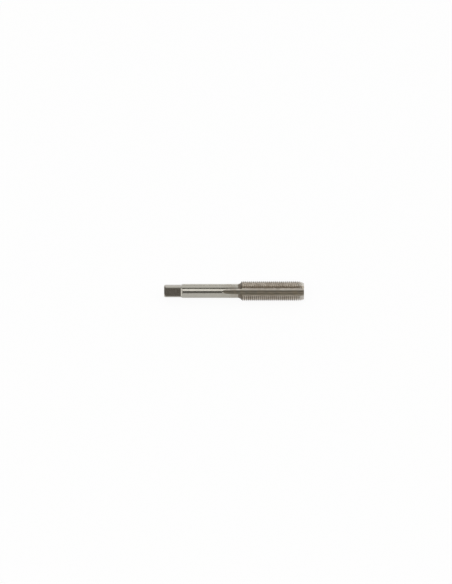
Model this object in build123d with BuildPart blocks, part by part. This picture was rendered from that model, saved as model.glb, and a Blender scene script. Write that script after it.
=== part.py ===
from build123d import *
import os
from math import cos, radians, tan

# Straight-flute hand tap, M10 x 1, right hand, ground from one bar of tool steel.
# Millimetres. The axis runs along +X, from the middle of the drive end at the origin to the
# cutting end, and +Z is up. It lies as on a bench, with one flute straight down, on two lands.
# Angles are about +X, counted from +Y towards +Z, so that 90 is the top and 180 the front.

# Blank: shank, neck and body
overall_length = 70.0
thread_size = 10.0              # major diameter
pitch = 1.0
shank_diameter = 7.0
drive_end_chamfer = 0.7
neck_start = 37.3               # where the shank ends and begins to swell
neck_length = 1.0
neck_diameter = 7.9             # at its large end
back_face_length = 0.65         # steep back face of the body

# Driving square
square_across_flats = 5.5
square_length = 8.0             # length of the full flats
square_runout_radius = 1.5      # rounded corner that the flats end in
square_angle = 153.0            # direction that the front flat faces

# Flutes, each ground by one form wheel, which leaves a curved run-out in the shank
flute_angles = (30.0, 150.0, 270.0)
flute_end = 37.2                # where the full depth ends and the run-out begins
wheel_radius = 36.0
web_radius = 2.5                # from the axis to the floor of a flute
floor_radius = 1.8
floor_offset = 0.2              # centre of the floor, towards the cutting edge
rake_lean = 15.0                # wall under the cutting edge, from the flute's middle plane
heel_lean = 34.5                # wall under the heel, the same way
wall_reach = 3.6                # straight part of both walls, to clear of the crests

# Thread: 60 degree metric profile
flank_angle = 30.0
root_flat = pitch / 6
thread_depth = 17 / 24 * pitch * cos(radians(flank_angle))
first_gap = 38.5                # station of the first gap on the top land
gap_arc = 86.0                  # one land and some room at both its edges
gap_overrun = 0.08              # how far a gap's form stands above the crests

# Lead: the short taper at the cutting end, backed off behind each cutting edge
lead_length = 2.3
lead_angle = 22.0
lead_relief = 0.3               # how far the taper's own axis is set off
lead_overrun = 1.5

# Centre holes, which the tap was ground between
centre_pilot_radius = 0.8
centre_mouth_radius = 1.675
centre_depth = 3.4
centre_angle = 60.0

shank_radius = shank_diameter / 2
body_radius = thread_size / 2
body_start = neck_start + neck_length + back_face_length
land_angles = [angle + 60 for angle in flute_angles]
gap_count = int(overall_length - first_gap) + 2


def turned(angle, station=0.0):
    """Place for a form that was drawn at the top of the tap: another angle and station."""
    return Location((station, 0, 0), (angle - 90, 0, 0))


# What is ground away for one flat of the square: all above the flat, up to the rounded end
with BuildPart() as flat_cut:
    with BuildSketch(Plane.XZ):
        with BuildLine():
            flat_height = square_across_flats / 2
            flat_line = Line((-1, flat_height), (square_length, flat_height))
            runout = JernArc(flat_line @ 1, (1, 0), square_runout_radius, 80)
            Polyline(runout @ 1, ((runout @ 1).X, body_radius), (-1, body_radius), (-1, flat_height))
        make_face()
    extrude(amount=body_radius, both=True)

# What is ground away for one flute: the wheel's section, straight along the body and then
# turned about the wheel's own axis, so that it climbs out of the shank
with BuildPart() as flute_cut:
    with BuildSketch(Plane.YZ.offset(flute_end)) as wheel_form:
        with BuildLine():
            floor = CenterArc(
                (floor_offset, web_radius + floor_radius),
                floor_radius,
                180 + heel_lean,
                180 - heel_lean - rake_lean,
            )
            rake_wall = PolarLine(floor @ 1, wall_reach, direction=floor % 1)
            heel_wall = PolarLine(floor @ 0, wall_reach, direction=-(floor % 0))
            Line(rake_wall @ 1, heel_wall @ 1)
        make_face()
    extrude(amount=overall_length - flute_end + 1)
    wheel_axis = Axis((flute_end, 0, web_radius + wheel_radius), (0, 1, 0))
    revolve(wheel_form.sketch, axis=wheel_axis, revolution_arc=25)

# One gap between two threads of a land: its section swept along a short stretch of the helix,
# which starts at the top of the tap. The flanks run on a little way above the crests.
with BuildPart() as gap_cut:
    with BuildLine() as helix:
        Helix(pitch, pitch * gap_arc / 360, body_radius, direction=(1, 0, 0))
    with BuildSketch(Plane(helix.line @ 0, x_dir=(1, 0, 0), z_dir=helix.line % 0)):
        with BuildLine():
            half_root = root_flat / 2
            half_mouth = half_root + (thread_depth + gap_overrun) * tan(radians(flank_angle))
            root = Line((-half_root, -thread_depth), (half_root, -thread_depth))
            mouth = Line((half_mouth, gap_overrun), (-half_mouth, gap_overrun))
            Line(root @ 1, mouth @ 0)
            Line(mouth @ 1, root @ 0)
        make_face()
    sweep(path=helix.line, is_frenet=True)

# What the lead takes off the top land: a taper turned about an axis that is set off towards
# the cutting edge, so that the land falls away behind the edge
with BuildPart() as lead_cut:
    lead_plane = Plane((0, -lead_relief, 0), x_dir=(1, 0, 0), z_dir=(0, -1, 0))
    with BuildSketch(lead_plane.rotated((-60, 0, 0))):
        with BuildLine():
            lead_start = overall_length - lead_length - lead_overrun
            lead_end = overall_length + lead_overrun
            lead_high = body_radius + lead_overrun * tan(radians(lead_angle))
            lead_low = lead_high - (lead_end - lead_start) * tan(radians(lead_angle))
            Polyline((lead_start, lead_high), (lead_end, lead_low), (lead_end, lead_high), close=True)
        make_face()
    revolve(axis=Axis((0, -lead_relief, 0), (1, 0, 0)), revolution_arc=120)

# The tap: the blank turned to its outline, then ground. The outline lies below the axis, so
# that the seam of the turned faces falls in the bottom flute and is ground away.
with BuildPart() as tap:
    with BuildSketch(Plane.XZ):
        with BuildLine():
            drive_face = Line((0, 0), (0, drive_end_chamfer - shank_radius))
            edge_break = Line(drive_face @ 1, (drive_end_chamfer, -shank_radius))
            shank_side = Line(edge_break @ 1, (neck_start, -shank_radius))
            neck = Line(shank_side @ 1, (neck_start + neck_length, -neck_diameter / 2))
            back_face = Line(neck @ 1, (body_start, -body_radius))
            body_side = Line(back_face @ 1, (overall_length, -body_radius))
            tip_face = Line(body_side @ 1, (overall_length, 0))
            Line(tip_face @ 1, drive_face @ 0)
        make_face()
    revolve(axis=Axis.X)

    with Locations(*[turned(square_angle + quarter) for quarter in (0, 90, 180, 270)]):
        add(flat_cut.part, mode=Mode.SUBTRACT)

    with Locations(*[turned(angle) for angle in flute_angles]):
        add(flute_cut.part, mode=Mode.SUBTRACT)

    with Locations(*[turned(angle) for angle in land_angles]):
        add(lead_cut.part, mode=Mode.SUBTRACT)

    gap_places = []
    for angle in land_angles:
        gap_start = angle - gap_arc / 2
        for turn in range(gap_count):
            station = first_gap + pitch * (turn - 1 + (gap_start - 90) / 360)
            gap_places.append(turned(gap_start, station))
    with Locations(*gap_places):
        add(gap_cut.part, mode=Mode.SUBTRACT)

    for end_face in (tap.faces().sort_by(Axis.X)[0], tap.faces().sort_by(Axis.X)[-1]):
        with Locations(Plane(end_face)):
            CounterSinkHole(centre_pilot_radius, centre_mouth_radius, centre_depth, centre_angle)

tap.part.label = "thread_tap"
os.makedirs("parts", exist_ok=True)
export_step(tap.part, "parts/thread_tap.step")
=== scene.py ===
"""Finish and lighting for a straight-flute hand tap: one bar of hardened tool steel, lying on a
white table top. Metres, +X from the drive square to the cutting tip, +Z up."""
import math

import bpy
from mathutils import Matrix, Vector


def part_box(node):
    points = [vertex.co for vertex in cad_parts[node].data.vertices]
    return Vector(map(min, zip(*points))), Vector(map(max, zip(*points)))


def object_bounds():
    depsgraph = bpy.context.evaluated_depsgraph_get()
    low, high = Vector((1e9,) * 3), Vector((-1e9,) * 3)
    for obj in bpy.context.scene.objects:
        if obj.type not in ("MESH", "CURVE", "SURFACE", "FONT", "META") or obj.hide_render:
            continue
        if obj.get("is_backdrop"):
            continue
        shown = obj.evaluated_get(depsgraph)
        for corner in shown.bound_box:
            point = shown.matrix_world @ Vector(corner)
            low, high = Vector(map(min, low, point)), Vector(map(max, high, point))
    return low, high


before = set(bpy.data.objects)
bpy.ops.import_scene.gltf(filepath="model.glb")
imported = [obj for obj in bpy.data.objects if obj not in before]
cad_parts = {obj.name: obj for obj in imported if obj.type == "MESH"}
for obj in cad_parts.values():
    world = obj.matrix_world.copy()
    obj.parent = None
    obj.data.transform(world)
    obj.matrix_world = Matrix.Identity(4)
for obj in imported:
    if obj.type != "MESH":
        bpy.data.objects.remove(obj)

packed_low, packed_high = (list(corner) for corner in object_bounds())

# ------------------------------------------------------------------------------------------
# Tap. One bar of high-speed steel: turned, milled square at the drive end, hardened, then
# ground on its shank, flutes, thread and lead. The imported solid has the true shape, so it
# stays, and this is its finish, laid out by the place on the bar.
# ------------------------------------------------------------------------------------------
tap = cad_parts["thread_tap"]
mm = 0.001

# The bar in millimetres: stations from the drive end, and distances from the axis
tap_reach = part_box("thread_tap")[1] / mm
tap_length = tap_reach.x
square_end = 8.5
neck_start = 37.3
thread_start = neck_start + 1.6
lead_start = tap_length - 2.3
shank_radius = 3.5
crest_radius = tap_reach.y
root_radius = crest_radius - 0.61
last_root_radius = root_radius - 0.49

# Each pair says where one finish starts to give way to the next, and where it has done so
square_gives_way = (square_end - 0.3, square_end)
clear_of_square = (square_end + 3.5, square_end + 3.6)
neck_starts = (neck_start - 0.4, neck_start - 0.1)
tongue_gives_way = (neck_start, neck_start + 0.1)
thread_starts = (thread_start - 0.05, thread_start + 0.05)
lead_starts = (lead_start - 2.2, lead_start + 0.3)
last_thread_starts = (lead_start + 0.9, lead_start + 1.2)
flat_to_corner = (shank_radius - 0.28, shank_radius - 0.06)
flat_to_shank = (shank_radius - 0.08, shank_radius - 0.03)
flute_to_neck = (shank_radius - 0.1, shank_radius - 0.05)
flute_to_thread = (root_radius - 0.06, root_radius - 0.02)
flute_to_last_thread = (last_root_radius - 0.02, last_root_radius + 0.02)
root_to_crest = (root_radius + 0.1, crest_radius - 0.1)

# The top land's cutting edge, up and over from the front, and the lands' spacing, in degrees.
# Angles behind an edge run from there over its land towards the heel.
top_edge = 55.2
land_spacing = 120.0
land_starts = (1.4, 2.4)
land_gives_way = (70.0, 71.0)
film_starts = (3.5, 6.0)
film_gives_way = (12.0, 16.0)
heel_starts = (36.0, 62.0)

# How a surface faces: aside from the bar, towards the tip, and straight along the bar. Each
# goes from -1 to 1.
onto_rake = (0.25, 0.95)
onto_heel = (-0.7, -1.0)
shank_side_to_tip_side = (-0.8, 0.8)
onto_end_face = (0.9, 0.97)

bright_steel = (0.405, 0.39, 0.345, 1)
milled_steel = (0.43, 0.398, 0.342, 1)
# Paler colour for the square's corners: partly wear, partly a painted highlight
worn_and_highlit_steel = (0.62, 0.59, 0.53, 1)
floor_steel = (0.13, 0.12, 0.095, 1)
# Flute walls: painted light on the heel wall, and a painted reflection on the wall under the edge
painted_light_heel_steel = (0.38, 0.355, 0.30, 1)
painted_reflection_rake_steel = (0.85, 0.80, 0.72, 1)
# Teeth: the bright gaps and dull crests are painted reflection and painted shade
painted_bright_gap_steel = (0.82, 0.765, 0.685, 1)
painted_dark_crest_steel = (0.25, 0.222, 0.188, 1)
neck_steel = (0.155, 0.135, 0.11, 1)
lead_steel = (0.62, 0.595, 0.545, 1)
brown_film = (0.26, 0.20, 0.14, 1)


def node(tree, kind, inputs=(), **settings):
    """A node for a finish, with its settings by name and its inputs by name or number, each
    a value or the output of another node. Gives the node's outputs."""
    made = tree.nodes.new("ShaderNode" + kind)
    for name, value in settings.items():
        setattr(made, name, value)
    for name, value in dict(inputs).items():
        if isinstance(value, bpy.types.NodeSocket):
            tree.links.new(value, made.inputs[name])
        else:
            made.inputs[name].default_value = value
    return made.outputs


def sums(tree, operation, *values):
    """One kind of sum, worked through all the values from the left."""
    result = values[0]
    for value in values[1:]:
        result = node(tree, "Math", {0: result, 1: value}, operation=operation)[0]
    return result


def product(tree, *factors):
    """All the factors multiplied together."""
    return sums(tree, "MULTIPLY", *factors)


def total(tree, *terms):
    """All the terms added together."""
    return sums(tree, "ADD", *terms)


def less(tree, first, second):
    """The first less the second."""
    return sums(tree, "SUBTRACT", first, second)


def part_left(tree, first, second):
    """The part of the first mask that the second leaves free."""
    inputs = {0: first, 1: second}
    return node(tree, "Math", inputs, operation="SUBTRACT", use_clamp=True)[0]


def scaled(tree, vector, factor):
    """A vector or a colour times a number."""
    return node(tree, "VectorMath", {0: vector, "Scale": factor}, operation="SCALE")[0]


def rise(tree, value, span, at_first=0.0, at_last=1.0):
    """A smooth step from at_first to at_last while value goes through the span."""
    limits = {0: value, 1: span[0], 2: span[1], 3: at_first, 4: at_last}
    return node(tree, "MapRange", limits, interpolation_type="SMOOTHSTEP")[0]


def fall(tree, value, span):
    """A smooth step from 1 to 0 while value goes through the span."""
    return rise(tree, value, (span[1], span[0]))


def blend(tree, mask, first, second):
    """The first colour where mask is 0, the second where it is 1."""
    return node(tree, "Mix", {0: mask, 6: first, 7: second}, data_type="RGBA")[2]


def new_group(name, inputs, outputs):
    """An empty node group with sockets of those names and kinds. Gives the group, what comes
    into it and what it puts out."""
    group = bpy.data.node_groups.new(name, "ShaderNodeTree")
    for in_out, sockets in (("INPUT", inputs), ("OUTPUT", outputs)):
        for label, kind in sockets.items():
            group.interface.new_socket(label, in_out=in_out, socket_type="NodeSocket" + kind)
    comes_in = group.nodes.new("NodeGroupInput").outputs
    puts_out = group.nodes.new("NodeGroupOutput").inputs
    return group, comes_in, puts_out


# Where a point lies on the bar, in millimetres: how far along, how far from the axis, its
# place for marks that run round the bar, and how far the surface there is turned aside from
# facing outwards: 1 for the wall under a cutting edge, -1 for the wall under a heel. Behind
# edge is the angle from the last cutting edge, in degrees, round towards the heel.
bar_place, place_in, place_out = new_group(
    "place on the bar",
    {"Position": "Vector", "Facing": "Vector"},
    {
        "Along": "Float",
        "Radius": "Float",
        "Round": "Vector",
        "Aside": "Float",
        "Behind edge": "Float",
    },
)
axes = node(bar_place, "SeparateXYZ", {0: scaled(bar_place, place_in["Position"], 1 / mm)})
from_axis = node(bar_place, "CombineXYZ", {"Y": axes["Y"], "Z": axes["Z"]})[0]
distance = node(bar_place, "VectorMath", {0: from_axis}, operation="LENGTH")["Value"]
outwards = node(bar_place, "VectorMath", {0: from_axis}, operation="NORMALIZE")[0]
along_axis = node(bar_place, "CombineXYZ", {"X": axes["X"]})[0]
round_place = node(bar_place, "VectorMath", {0: along_axis, 1: outwards}, operation="ADD")[0]
edgewards = node(
    bar_place, "VectorMath", {0: (1, 0, 0), 1: outwards}, operation="CROSS_PRODUCT"
)[0]
turned_aside = node(
    bar_place, "VectorMath", {0: edgewards, 1: place_in["Facing"]}, operation="DOT_PRODUCT"
)["Value"]
frontwards = product(bar_place, axes["Y"], -1.0)
turn = node(bar_place, "Math", {0: axes["Z"], 1: frontwards}, operation="ARCTAN2")[0]
turn_degrees = node(bar_place, "Math", {0: turn}, operation="DEGREES")[0]
past_edge = less(bar_place, turn_degrees, top_edge)
since_edge = node(
    bar_place, "Math", {0: past_edge, 1: land_spacing, 2: 0.0}, operation="WRAP"
)[0]
for label, value in (
    ("Along", axes["X"]),
    ("Radius", distance),
    ("Round", round_place),
    ("Aside", turned_aside),
    ("Behind edge", since_edge),
):
    bar_place.links.new(value, place_out[label])

# Fine lines that a wheel or a cutter leaves: noise drawn out along the cut. Stretch is small
# along the lines and large across them. Shade swings about 1, and Height about 0.
tool_marks, marks_in, marks_out = new_group(
    "tool marks",
    {"Place": "Vector", "Stretch": "Vector", "Contrast": "Float"},
    {"Shade": "Float", "Height": "Float"},
)
drawn_out = node(
    tool_marks,
    "VectorMath",
    {0: marks_in["Place"], 1: marks_in["Stretch"]},
    operation="MULTIPLY",
)[0]
lines = node(
    tool_marks, "TexNoise", {"Vector": drawn_out, "Scale": 1.0, "Detail": 3.0, "Roughness": 0.6}
)[0]
swing = less(tool_marks, lines, 0.5)
shade = total(tool_marks, product(tool_marks, swing, marks_in["Contrast"]), 1.0)
tool_marks.links.new(shade, marks_out["Shade"])
tool_marks.links.new(swing, marks_out["Height"])

# Thin brown film from hardening and handling, in soft patches. Size is about how many there
# are to the millimetre, and Amount how strong they are.
film_patches, film_in, film_out = new_group(
    "brown film",
    {"Place": "Vector", "Size": "Float", "Amount": "Float"},
    {"Film": "Float"},
)
clouds = node(
    film_patches,
    "TexNoise",
    {"Vector": film_in["Place"], "Scale": film_in["Size"], "Detail": 4.0},
)[0]
clean_to_filmed = (0.35, 0.7)
patches = product(film_patches, rise(film_patches, clouds, clean_to_filmed), film_in["Amount"])
film_patches.links.new(patches, film_out["Film"])

steel = bpy.data.materials.new("ground tool steel")
steel.use_nodes = True
tree = steel.node_tree
surface = tree.nodes["Principled BSDF"]
coordinates = node(tree, "TexCoord")
normal = coordinates["Normal"]
along, radius, around, aside, behind_edge = node(
    tree, "Group", {"Position": coordinates["Object"], "Facing": normal}, node_tree=bar_place
)
straight = scaled(tree, coordinates["Object"], 1 / mm)
facing_tip = node(tree, "SeparateXYZ", {0: normal})["X"]

# Which cut made the surface at each place
below_shank = fall(tree, radius, flat_to_shank)
on_square = product(tree, below_shank, fall(tree, along, square_gives_way))
in_tongue = product(
    tree,
    below_shank,
    rise(tree, along, clear_of_square),
    fall(tree, along, tongue_gives_way),
)
in_head = rise(tree, along, neck_starts)
in_body = rise(tree, along, thread_starts)
in_neck = less(tree, in_head, in_body)
neck_flute = product(tree, in_neck, fall(tree, radius, flute_to_neck))
on_last_thread = product(
    tree,
    rise(tree, along, last_thread_starts),
    rise(tree, radius, flute_to_last_thread),
    rise(tree, behind_edge, land_starts),
    fall(tree, behind_edge, land_gives_way),
)
below_land = part_left(tree, fall(tree, radius, flute_to_thread), on_last_thread)
in_flute = node(
    tree,
    "Math",
    {0: total(tree, in_tongue, neck_flute), 1: product(tree, in_body, below_land)},
    operation="ADD",
    use_clamp=True,
)[0]
neck_skin = part_left(tree, in_neck, in_flute)
on_teeth = part_left(tree, in_body, below_land)
in_lead = rise(tree, along, lead_starts)
squarely = node(tree, "Math", {0: facing_tip}, operation="ABSOLUTE")[0]
on_end = rise(tree, squarely, onto_end_face)
on_rake = rise(tree, aside, onto_rake)
on_heel = rise(tree, aside, onto_heel)

# Colour of the flutes: a dark floor, a paler heel wall and a bright wall under the edge
# The heel wall is painted paler: painted light against the shade in the flute's corners.
flute_colour = blend(tree, on_heel, floor_steel, painted_light_heel_steel)
# The wall under the edge is painted near white: a painted reflection of the white table.
flute_colour = blend(tree, on_rake, flute_colour, painted_reflection_rake_steel)

# Colour of the teeth: bright gaps and dull crests as painted reflection and painted shade, flanks
# that face the tip painted lighter as painted light, lighter on the lead, darker towards the heel,
# and darker brown in a band just behind the cutting edge
painted_flank_shades = (0.72, 1.2)
heel_shade = 0.8
edge_band_share = 0.9
tooth_colour = blend(tree, rise(tree, radius, root_to_crest), painted_bright_gap_steel, painted_dark_crest_steel)
# Flanks that face the tip are painted lighter and the others darker: painted light and shade
painted_flank_shade = rise(tree, facing_tip, shank_side_to_tip_side, *painted_flank_shades)
tooth_colour = scaled(tree, tooth_colour, painted_flank_shade)
tooth_colour = blend(tree, in_lead, tooth_colour, lead_steel)
land_shade = rise(tree, behind_edge, heel_starts, 1.0, heel_shade)
tooth_colour = scaled(tree, tooth_colour, land_shade)
# A darker brown band just behind the cutting edge
edge_band = less(
    tree, fall(tree, behind_edge, film_gives_way), fall(tree, behind_edge, film_starts)
)
edge_band = product(tree, edge_band, edge_band_share)
tooth_colour = blend(tree, edge_band, tooth_colour, brown_film)

# Colour of the square: milled, with brown patches, and paler at its corners, partly from wear and
# partly a painted highlight
milled_film = node(
    tree, "Group", {"Place": straight, "Size": 0.9, "Amount": 0.3}, node_tree=film_patches
)["Film"]
milled_colour = blend(tree, milled_film, milled_steel, brown_film)
milled_colour = blend(tree, rise(tree, radius, flat_to_corner), milled_colour, worn_and_highlit_steel)

# Colour of the whole bar, with a film that is heavier towards the neck and the thread
film_grows = (24.0, 36.0)
film_on_shank = 0.15
colour = blend(tree, on_square, bright_steel, milled_colour)
colour = blend(tree, in_neck, colour, neck_steel)
colour = blend(tree, in_flute, colour, flute_colour)
colour = blend(tree, on_teeth, colour, tooth_colour)
colour = blend(tree, on_end, colour, bright_steel)
film = node(
    tree, "Group", {"Place": straight, "Size": 0.35, "Amount": 0.35}, node_tree=film_patches
)["Film"]
film_share = rise(tree, along, film_grows, film_on_shank, 1.0)
colour = blend(tree, product(tree, film, film_share), colour, brown_film)

# Marks of each cut: the shank and the thread were ground as the bar turned, the flutes along
# the bar, and the square was milled across it
ring_marks, wheel_marks, cutter_marks = (
    node(
        tree,
        "Group",
        {"Place": place, "Stretch": stretch, "Contrast": contrast},
        node_tree=tool_marks,
    )
    for place, stretch, contrast in (
        (around, (14.0, 1.5, 1.5), 0.22),
        (straight, (0.25, 9.0, 9.0), 0.35),
        (straight, (7.0, 0.3, 0.3), 0.6),
    )
)


def by_cut(output):
    """One output of the three kinds of marks, each where its own cut was made."""
    ground_round = less(tree, 1.0, total(tree, in_flute, on_square))
    return total(
        tree,
        product(tree, ring_marks[output], ground_round),
        product(tree, wheel_marks[output], in_flute),
        product(tree, cutter_marks[output], on_square),
    )


tree.links.new(scaled(tree, colour, by_cut("Shade")), surface.inputs["Base Color"])

# A thin skin dulls the teeth, and more so the walls under the cutting edges
tooth_skin = 0.2
rake_skin = 0.6
skin = total(
    tree, product(tree, on_teeth, tooth_skin), product(tree, in_flute, on_rake, rake_skin)
)
tree.links.new(less(tree, 1.0, skin), surface.inputs["Metallic"])
surface.inputs["Specular Tint"].default_value = (0.85, 0.85, 0.85, 1)

# Roughness of the ground shank, and what every other surface adds to it
shank_roughness = 0.16
shank_dulls = (27.0, 35.0)
shank_gives_way = (neck_start - 0.3, neck_start)
dulled_shank = product(
    tree, rise(tree, along, shank_dulls), fall(tree, along, shank_gives_way)
)
added_roughness = (
    (in_flute, 0.28),
    (on_teeth, 0.14),
    (neck_skin, 0.25),
    (on_square, 0.04),
    (film, 0.06),
    (dulled_shank, 0.13),
)
roughness = total(
    tree, shank_roughness, *(product(tree, place, added) for place, added in added_roughness)
)
tree.links.new(roughness, surface.inputs["Roughness"])

mark_depth = 0.0012 * mm
relief = node(
    tree, "Bump", {"Strength": 1.0, "Distance": mark_depth, "Height": by_cut("Height")}
)[0]
tree.links.new(relief, surface.inputs["Normal"])

tap.data.materials.clear()
tap.data.materials.append(steel)

# ------------------------------------------------------------------------------------------
# Table top. A wide square sheet of white paper under the tap, which touches it with two
# lands. It looks plain white, and still takes a faint shadow of the tap.
# ------------------------------------------------------------------------------------------
scene = bpy.context.scene
table_reach = 6.0
table_height = packed_low[2]
table_corners = [
    (x * table_reach, y * table_reach, table_height)
    for x, y in ((-1, -1), (1, -1), (1, 1), (-1, 1))
]
table_mesh = bpy.data.meshes.new("table_top")
table_mesh.from_pydata(table_corners, [], [(0, 1, 2, 3)])
table_top = bpy.data.objects.new("table_top", table_mesh)
scene.collection.objects.link(table_top)
table_top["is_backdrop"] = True

paper_white = (0.8, 0.8, 0.8, 1)
plain_white = (1, 1, 1, 1)
plain_share = 0.93
paper = bpy.data.materials.new("white paper")
paper.use_nodes = True
sheet_tree = paper.node_tree
sheet_tree.nodes.clear()
sheet = node(sheet_tree, "BsdfDiffuse", {"Color": paper_white})[0]
white = node(sheet_tree, "Emission", {"Color": plain_white, "Strength": 1.0})[0]
rays = node(sheet_tree, "LightPath")
seen = total(sheet_tree, rays["Is Camera Ray"], rays["Is Glossy Ray"], rays["Is Transmission Ray"])
plain_where_seen = product(sheet_tree, seen, plain_share)
shown = node(sheet_tree, "MixShader", {0: plain_where_seen, 1: sheet, 2: white})[0]
node(sheet_tree, "OutputMaterial", {"Surface": shown})
table_mesh.materials.append(paper)

# ------------------------------------------------------------------------------------------
# Studio. A dim room and large soft lamps round the tap: one in front and above, one over the
# back, one low behind, and one at each end.
# ------------------------------------------------------------------------------------------
scene.view_settings.view_transform = "Standard"
room = bpy.data.worlds.new("studio")
room.use_nodes = True
room.node_tree.nodes["Background"].inputs["Color"].default_value = (0.2, 0.195, 0.185, 1)
scene.world = room

tap_middle = Vector((tap_length / 2 * mm, 0, 0))
lamp_distance = 3.0


def soft_lamp(name, azimuth, elevation, wide, high, radiance):
    """A flat lamp, as far from the tap as lamp_distance. Azimuth goes from the front towards
    the tip, elevation up from the table, over the top and down behind. Wide and high are the
    angles that it fills as the tap sees it, and its power is radiance times pi times its
    area."""
    lamp = bpy.data.lights.new(name, "AREA")
    lamp.shape = "RECTANGLE"
    lamp.size = 2 * lamp_distance * math.tan(math.radians(wide / 2))
    lamp.size_y = 2 * lamp_distance * math.tan(math.radians(high / 2))
    lamp.energy = radiance * math.pi * lamp.size * lamp.size_y
    holder = bpy.data.objects.new(name, lamp)
    scene.collection.objects.link(holder)
    holder.rotation_euler = (math.radians(90 - elevation), 0, math.radians(azimuth))
    bpy.context.view_layer.update()
    holder.location = tap_middle + holder.matrix_world.to_3x3() @ Vector((0, 0, lamp_distance))
    holder.visible_camera = False


soft_lamp("front lamp", azimuth=0, elevation=55, wide=90, high=30, radiance=1.5)
soft_lamp("back lamp", azimuth=0, elevation=123, wide=90, high=54, radiance=0.85)
soft_lamp("low back lamp", azimuth=0, elevation=169, wide=90, high=22, radiance=1.4)
soft_lamp("drive end lamp", azimuth=-62, elevation=28, wide=60, high=56, radiance=1.3)
soft_lamp("tip end lamp", azimuth=80, elevation=35, wide=50, high=50, radiance=1.0)

# ------------------------------------------------------------------------------------------
# Camera. Level with the front of the tap and looking down on it, with a long lens.
# ------------------------------------------------------------------------------------------
picture_height = 584
pixels_per_metre = 1995.0
view_elevation = math.radians(38.5)
view_station = 30.97 * mm
view_drop = 0.53 * mm
lens = bpy.data.cameras.new("camera")
lens.lens = 200
lens.sensor_width = 36
camera = bpy.data.objects.new("camera", lens)
scene.collection.objects.link(camera)
scene.camera = camera
back = Vector((0, -math.cos(view_elevation), math.sin(view_elevation)))
up = Vector((0, math.sin(view_elevation), math.cos(view_elevation)))
view_distance = (picture_height / pixels_per_metre) * lens.lens / lens.sensor_width
looked_at = Vector((view_station, 0, 0)) - up * view_drop
camera.location = looked_at + back * view_distance
camera.rotation_mode = "QUATERNION"
camera.rotation_quaternion = back.to_track_quat("Z", "Y")
